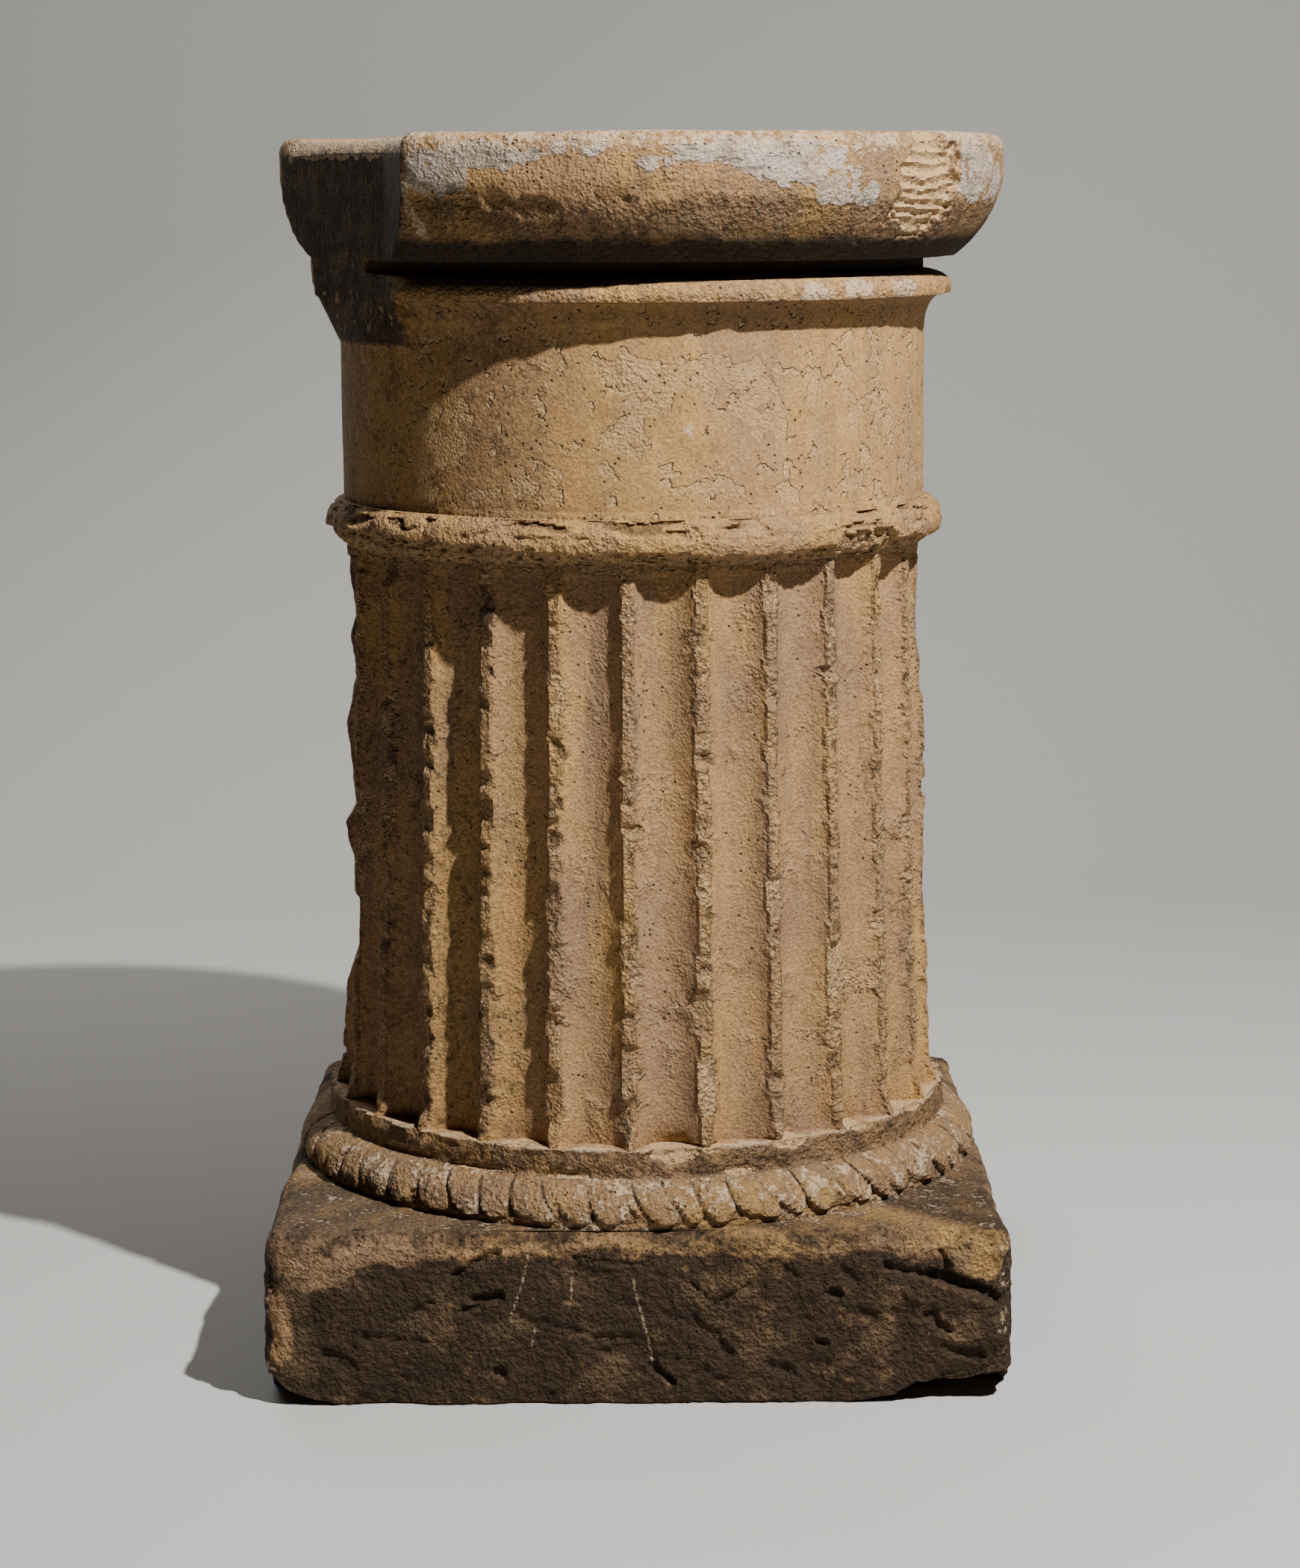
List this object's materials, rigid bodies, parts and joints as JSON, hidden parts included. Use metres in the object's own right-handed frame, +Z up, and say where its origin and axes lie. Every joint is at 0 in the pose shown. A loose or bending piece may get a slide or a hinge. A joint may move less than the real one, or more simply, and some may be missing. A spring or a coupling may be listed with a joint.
{
  "type": "short fluted stone column with leaf-carved base and square plinth",
  "caption": "Short carved stone column with a round Doric-type capital, plain neck, fluted shaft, leaf moulding and square plinth, one worn and chipped block.",
  "frame": {"origin": "middle of the plinth's underside, on the column's axis", "axes": "+Z up along the column's axis, -Y towards the front seen in the picture, +X to the viewer's right"},
  "size_m": [0.5608, 0.568, 0.919],
  "materials": {
    "carved_stone": "weathered warm tan stone with tooled, pecked and chipped surfaces"
  },
  "bodies": {
    "root": {"column": "carved_stone"}
  },
  "joints": []
}
